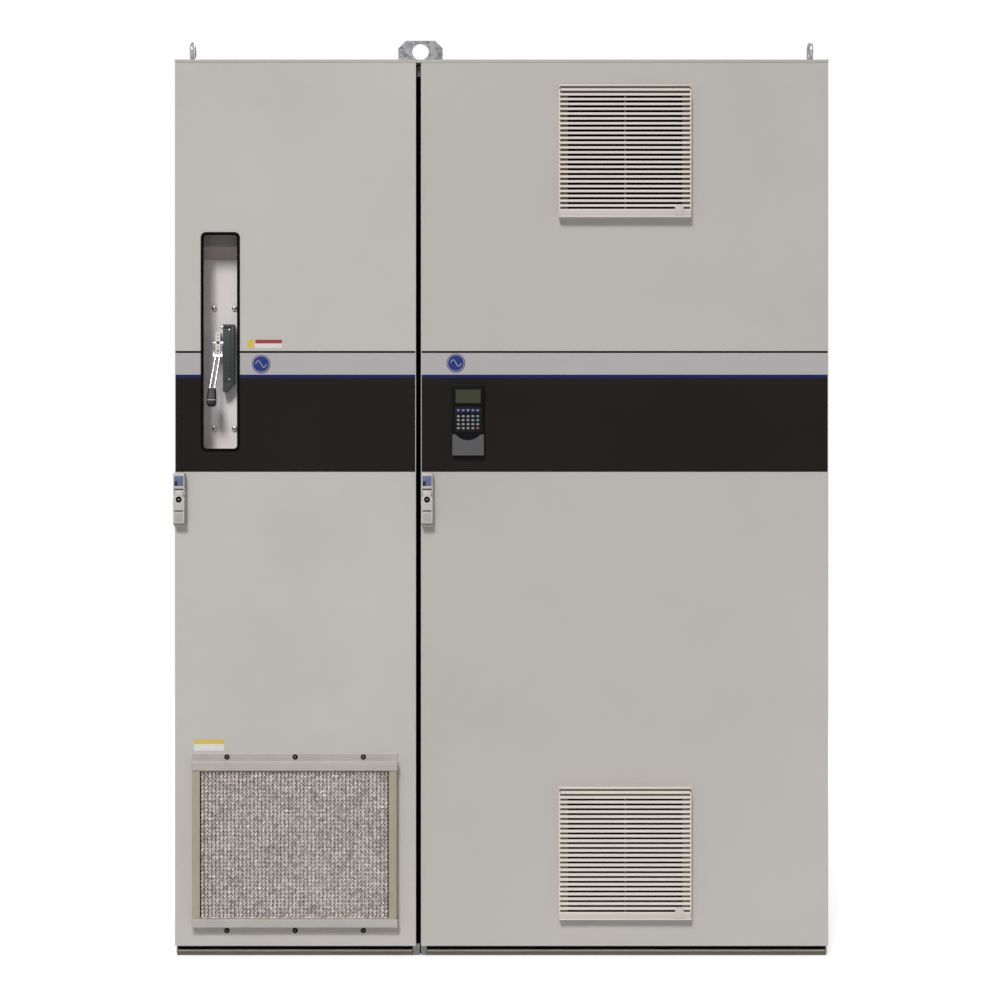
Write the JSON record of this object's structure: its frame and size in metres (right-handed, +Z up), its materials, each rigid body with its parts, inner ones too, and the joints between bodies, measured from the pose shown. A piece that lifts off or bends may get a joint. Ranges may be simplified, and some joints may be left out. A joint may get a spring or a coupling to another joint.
{
  "type": "variable frequency drive",
  "caption": "Floor-standing variable frequency drive in two bayed sheet-steel enclosures with hinged doors, a disconnect handle, an intake filter, louvred vents and a keypad.",
  "frame": {"origin": "on the floor under the centre of the whole cabinet's bounding box", "axes": "+X to the right seen from the front, -Y out of the doors, +Z up"},
  "size_m": [1.603, 0.624, 2.253],
  "materials": {
    "cabinet_paint": "fine-textured powder coat",
    "door_paint": "fine-textured powder coat with printed bands",
    "galvanised": "zinc plated",
    "recess_metal": "satin",
    "bright_steel": "polished",
    "black_rubber": "matt",
    "black_plastic": "matt",
    "mechanism_case": "satin",
    "module_plastic": "matt",
    "fuse_ceramic": "unglazed",
    "core_iron": "varnished laminations",
    "winding_copper": "varnished winding",
    "bar_copper": "tinned copper",
    "can_aluminium": "sleeved can",
    "board_green": "solder resist",
    "latch_plastic": "moulded",
    "grille_plastic": "moulded",
    "filter_aluminium": "mill finish",
    "filter_media": "expanded mesh layers",
    "mat_fibre": "bonded fibre",
    "keypad_plastic": "moulded",
    "key_green": "moulded",
    "key_red": "moulded"
  },
  "bodies": {
    "cabinet": {"frame_posts": "cabinet_paint", "frame_rails": "cabinet_paint", "base_corners": "galvanised", "roof_plates": "cabinet_paint", "side_panels": "cabinet_paint", "rear_panels": "cabinet_paint", "gland_plates": "galvanised", "baying_seal": "black_rubber", "eyebolts": "galvanised", "lifting_plates": "galvanised", "frame_fasteners": "bright_steel", "hinge_brackets": "galvanised", "hinge_pins": "bright_steel", "latch_keepers": "galvanised", "mounting_plates": "galvanised", "disconnect_plate": "recess_metal", "disconnect_case": "mechanism_case", "disconnect_switch": "module_plastic", "line_fuses": "fuse_ceramic", "line_contactor": "module_plastic", "reactor_core": "core_iron", "reactor_coils": "winding_copper", "converter_module": "module_plastic", "inverter_module": "module_plastic", "capacitor_bank": "can_aluminium", "busbars": "bar_copper", "control_cage": "board_green", "blower_housing": "galvanised"},
    "input_door": {"input_door": "door_paint", "input_gasket": "black_rubber", "input_hinge_leaves": "galvanised", "window_trim": "black_rubber", "input_latch_case": "latch_plastic", "filter_rails": "filter_aluminium", "filter_screws": "black_plastic"},
    "power_door": {"power_door": "door_paint", "power_gasket": "black_rubber", "power_hinge_leaves": "galvanised", "power_latch_case": "latch_plastic", "grille_frames": "grille_plastic", "filter_mats": "mat_fibre", "vent_fan_housing": "black_plastic", "keypad_case": "keypad_plastic"},
    "disconnect_handle": {"handle_rods": "bright_steel", "handle_grip": "black_plastic"},
    "switch_toggle": {"switch_toggle": "black_plastic"},
    "blower_rotor": {"blower_wheel": "black_plastic"},
    "input_lever": {"input_latch_lever": "latch_plastic"},
    "input_lock": {"input_lock": "black_plastic"},
    "input_rod": {"input_lock_rod": "galvanised"},
    "intake_filter": {"filter_frame": "filter_aluminium", "filter_mesh": "filter_media"},
    "power_lever": {"power_latch_lever": "latch_plastic"},
    "power_lock": {"power_lock": "black_plastic"},
    "power_rod": {"power_lock_rod": "galvanised"},
    "upper_cover": {"upper_grille": "grille_plastic"},
    "lower_cover": {"lower_grille": "grille_plastic"},
    "vent_rotor": {"vent_fan_impeller": "black_plastic"},
    "start_key": {"start_key": "key_green"},
    "stop_key": {"stop_key": "key_red"}
  },
  "joints": [
    {"name": "input_door_swing", "type": "hinge", "parent": "cabinet", "child": "input_door", "pos_m": [-0.222, -0.276, 1.1], "axis": [0, 0, 1], "range_deg": [0, 100]},
    {"name": "power_door_swing", "type": "hinge", "parent": "cabinet", "child": "power_door", "pos_m": [0.788, -0.276, 1.1], "axis": [0, 0, 1], "range_deg": [0, 115]},
    {"name": "handle_throw", "type": "hinge", "parent": "cabinet", "child": "disconnect_handle", "pos_m": [-0.711, -0.236, 1.5085], "axis": [-1, 0, 0], "range_deg": [0, 144]},
    {"name": "toggle_throw", "type": "hinge", "parent": "cabinet", "child": "switch_toggle", "pos_m": [-0.6635, 0.112, 1.5085], "axis": [-1, 0, 0], "range_deg": [0, 30]},
    {"name": "blower_spin", "type": "hinge", "parent": "cabinet", "child": "blower_rotor", "pos_m": [0.2975, 0.09, 2], "axis": [0, 0, 1], "continuous": true},
    {"name": "vent_spin", "type": "hinge", "parent": "power_door", "child": "vent_rotor", "pos_m": [0.3015, -0.235, 0.258], "axis": [0, 1, 0], "continuous": true},
    {"name": "input_latch_lift", "type": "hinge", "parent": "input_door", "child": "input_lever", "pos_m": [-0.7875, -0.303, 1.14], "axis": [-1, 0, 0], "range_deg": [0, 90]},
    {"name": "input_lock_turn", "type": "hinge", "parent": "input_lever", "child": "input_lock", "pos_m": [-0.7875, -0.306, 1.122], "axis": [0, 1, 0], "range_deg": [0, 90]},
    {"name": "input_rod_lift", "type": "slide", "parent": "input_door", "child": "input_rod", "axis": [0, 0, 1], "range_m": [0, 0.02]},
    {"name": "power_latch_lift", "type": "hinge", "parent": "power_door", "child": "power_lever", "pos_m": [-0.182, -0.303, 1.14], "axis": [-1, 0, 0], "range_deg": [0, 90]},
    {"name": "power_lock_turn", "type": "hinge", "parent": "power_lever", "child": "power_lock", "pos_m": [-0.182, -0.306, 1.122], "axis": [0, 1, 0], "range_deg": [0, 90]},
    {"name": "power_rod_lift", "type": "slide", "parent": "power_door", "child": "power_rod", "axis": [0, 0, 1], "range_m": [0, 0.02]},
    {"name": "filter_pull", "type": "slide", "parent": "input_door", "child": "intake_filter", "axis": [-1, 0, 0], "range_m": [0, 0.5]},
    {"name": "upper_cover_lift", "type": "hinge", "parent": "power_door", "child": "upper_cover", "pos_m": [0.3015, -0.298, 2.1325], "axis": [-1, 0, 0], "range_deg": [0, 90]},
    {"name": "lower_cover_lift", "type": "hinge", "parent": "power_door", "child": "lower_cover", "pos_m": [0.3015, -0.298, 0.4175], "axis": [-1, 0, 0], "range_deg": [0, 90]},
    {"name": "start_press", "type": "slide", "parent": "power_door", "child": "start_key", "axis": [0, 1, 0], "range_m": [0, 0.0012], "stiffness_N_per_m": 300},
    {"name": "stop_press", "type": "slide", "parent": "power_door", "child": "stop_key", "axis": [0, 1, 0], "range_m": [0, 0.0012], "stiffness_N_per_m": 300}
  ],
  "couplings": [
    {"joint": "toggle_throw", "follows": "handle_throw", "ratio": 0.2083},
    {"joint": "input_latch_lift", "follows": "input_rod_lift", "rad_per_m": 78.5},
    {"joint": "power_latch_lift", "follows": "power_rod_lift", "rad_per_m": 78.5}
  ]
}
